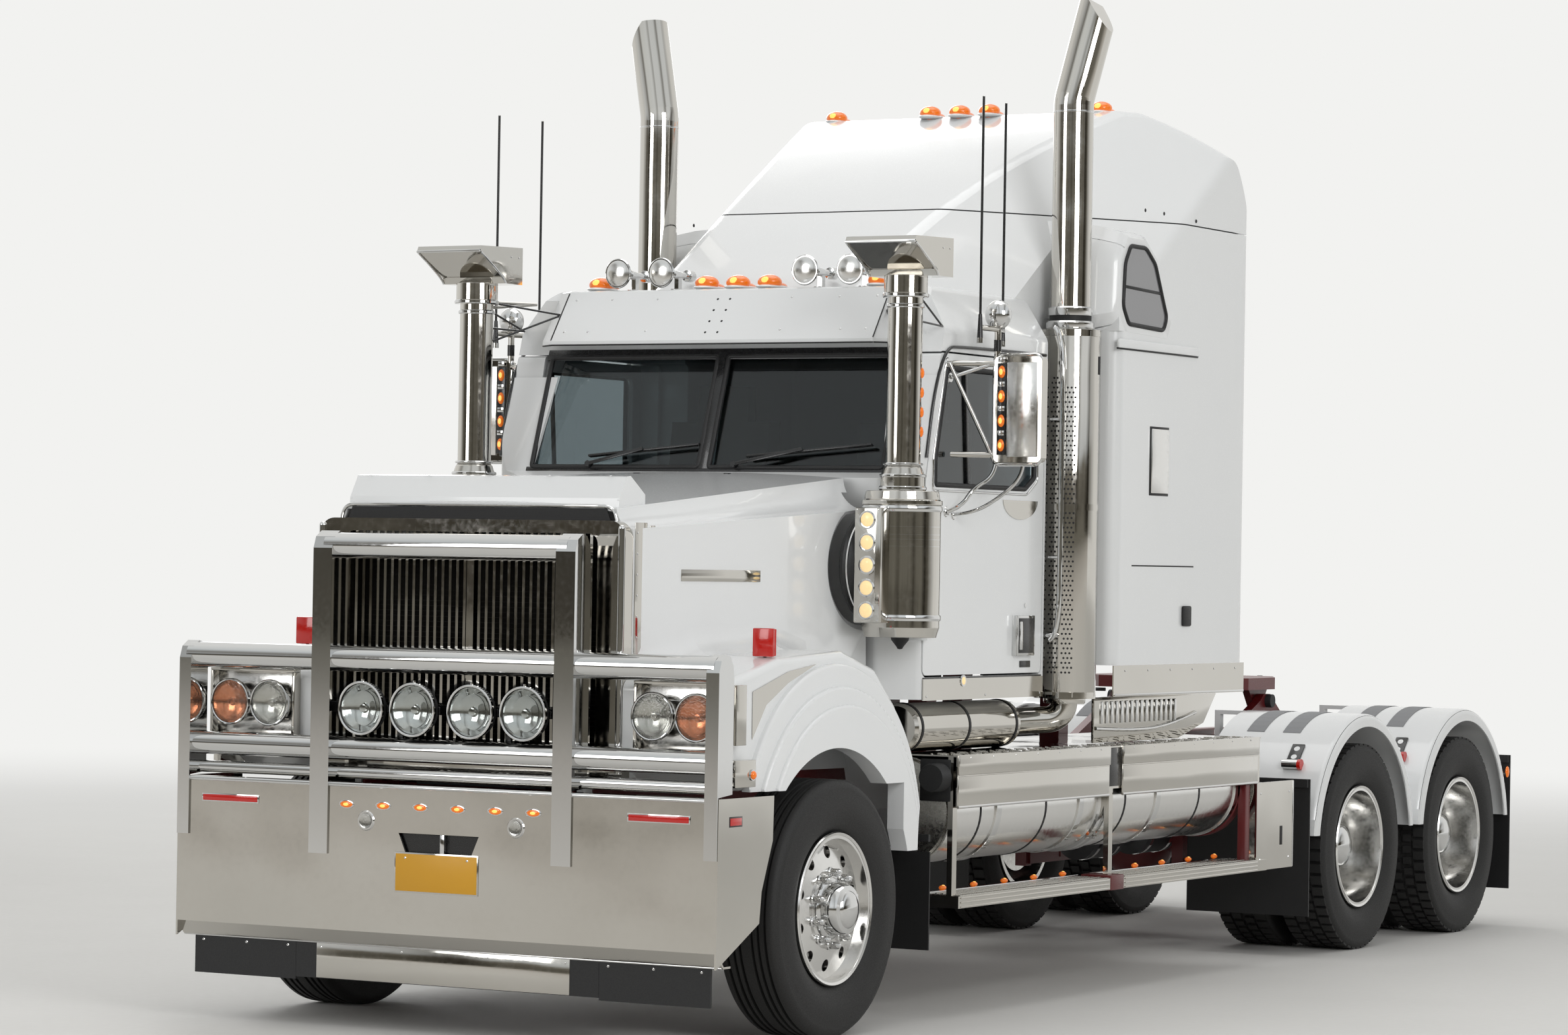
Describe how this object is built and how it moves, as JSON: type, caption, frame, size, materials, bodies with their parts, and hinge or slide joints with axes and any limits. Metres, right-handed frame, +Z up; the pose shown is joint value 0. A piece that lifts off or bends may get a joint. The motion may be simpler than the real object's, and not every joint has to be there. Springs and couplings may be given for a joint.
{
  "type": "semi truck tractor unit",
  "caption": "Bonneted sleeper tractor unit with bull bar, tilting bonnet, steered front wheels, twin-tyred tandem drive axles and a rocking fifth wheel.",
  "frame": {"origin": "on the ground under the middle of the whole truck", "axes": "-Y is the truck's front, +X its left side, +Z up"},
  "size_m": [2.84, 8.438, 4.3533],
  "materials": {
    "white_paint": "gloss",
    "red_chassis_paint": "satin",
    "polished_steel": "polished",
    "dark_iron": "painted",
    "bare_aluminium": "polished",
    "tyre_rubber": "matte",
    "black_rubber": "matte",
    "tinted_glass": "clear",
    "lamp_lens": "clear",
    "amber_lens": "gloss",
    "trim_plastic": "textured"
  },
  "bodies": {
    "chassis": {"frame": "red_chassis_paint", "axles": "red_chassis_paint", "engine": "dark_iron", "cab_shell": "white_paint", "sleeper_shell": "white_paint", "roof_cap": "white_paint", "glazing": "tinted_glass", "visor": "white_paint", "cab_interior": "trim_plastic", "exhausts": "polished_steel", "air_cleaners": "polished_steel", "fuel_tanks": "bare_aluminium", "side_steps": "polished_steel", "mudguards": "white_paint", "mud_flaps": "black_rubber", "marker_lamps": "amber_lens", "horns": "polished_steel"},
    "fifth_wheel_plate": {"fifth_wheel": "red_chassis_paint"},
    "bonnet_body": {"bonnet": "white_paint", "grille": "polished_steel", "head_lamps": "lamp_lens"},
    "bull_bar_body": {"bumper": "polished_steel", "bull_bar": "polished_steel", "driving_lamps": "lamp_lens", "air_dam": "black_rubber"},
    "door_left_body": {"door_left": "white_paint", "door_glass_left": "tinted_glass", "mirror_left": "polished_steel"},
    "knuckle_left_body": {"knuckle_left": "dark_iron"},
    "front_wheel_left_body": {"front_wheel_left": "bare_aluminium", "front_tyre_left": "tyre_rubber"},
    "rear_wheel_1_left_body": {"rear_wheel_1_left": "bare_aluminium", "rear_tyres_1_left": "tyre_rubber"},
    "rear_wheel_2_left_body": {"rear_wheel_2_left": "bare_aluminium", "rear_tyres_2_left": "tyre_rubber"},
    "door_right_body": {"door_right": "white_paint", "door_glass_right": "tinted_glass", "mirror_right": "polished_steel"},
    "knuckle_right_body": {"knuckle_right": "dark_iron"},
    "front_wheel_right_body": {"front_wheel_right": "bare_aluminium", "front_tyre_right": "tyre_rubber"},
    "rear_wheel_1_right_body": {"rear_wheel_1_right": "bare_aluminium", "rear_tyres_1_right": "tyre_rubber"},
    "rear_wheel_2_right_body": {"rear_wheel_2_right": "bare_aluminium", "rear_tyres_2_right": "tyre_rubber"}
  },
  "joints": [
    {"name": "door_left_hinge", "type": "hinge", "parent": "chassis", "child": "door_left_body", "pos_m": [1.059, -2.205, 2], "axis": [0, 0, -1], "range_deg": [0, 65]},
    {"name": "steer_left", "type": "hinge", "parent": "chassis", "child": "knuckle_left_body", "pos_m": [0.93, -3.231, 0.505], "axis": [0, 0, 1], "range_deg": [-35, 35]},
    {"name": "front_wheel_left_spin", "type": "hinge", "parent": "knuckle_left_body", "child": "front_wheel_left_body", "pos_m": [1.092, -3.231, 0.505], "axis": [1, 0, 0], "continuous": true},
    {"name": "rear_wheel_1_left_spin", "type": "hinge", "parent": "chassis", "child": "rear_wheel_1_left_body", "pos_m": [0.9205, 2.169, 0.505], "axis": [1, 0, 0], "continuous": true},
    {"name": "rear_wheel_2_left_spin", "type": "hinge", "parent": "chassis", "child": "rear_wheel_2_left_body", "pos_m": [0.9205, 3.525, 0.505], "axis": [1, 0, 0], "continuous": true},
    {"name": "door_right_hinge", "type": "hinge", "parent": "chassis", "child": "door_right_body", "pos_m": [-1.059, -2.205, 2], "axis": [0, 0, 1], "range_deg": [0, 65]},
    {"name": "steer_right", "type": "hinge", "parent": "chassis", "child": "knuckle_right_body", "pos_m": [-0.93, -3.231, 0.505], "axis": [0, 0, 1], "range_deg": [-35, 35]},
    {"name": "front_wheel_right_spin", "type": "hinge", "parent": "knuckle_right_body", "child": "front_wheel_right_body", "pos_m": [-1.092, -3.231, 0.505], "axis": [1, 0, 0], "continuous": true},
    {"name": "rear_wheel_1_right_spin", "type": "hinge", "parent": "chassis", "child": "rear_wheel_1_right_body", "pos_m": [-0.9205, 2.169, 0.505], "axis": [1, 0, 0], "continuous": true},
    {"name": "rear_wheel_2_right_spin", "type": "hinge", "parent": "chassis", "child": "rear_wheel_2_right_body", "pos_m": [-0.9205, 3.525, 0.505], "axis": [1, 0, 0], "continuous": true},
    {"name": "bonnet_tilt", "type": "hinge", "parent": "chassis", "child": "bonnet_body", "pos_m": [0, -3.981, 0.85], "axis": [1, 0, 0], "range_deg": [0, 50]},
    {"name": "bull_bar_fold", "type": "hinge", "parent": "chassis", "child": "bull_bar_body", "pos_m": [0, -4.031, 0.55], "axis": [1, 0, 0], "range_deg": [0, 50]},
    {"name": "fifth_wheel_rock", "type": "hinge", "parent": "chassis", "child": "fifth_wheel_plate", "pos_m": [0, 2.809, 1.19], "axis": [1, 0, 0], "range_deg": [-10, 10]}
  ],
  "couplings": [
    {"joint": "steer_right", "follows": "steer_left", "ratio": 1},
    {"joint": "bull_bar_fold", "follows": "bonnet_tilt", "ratio": 1}
  ]
}
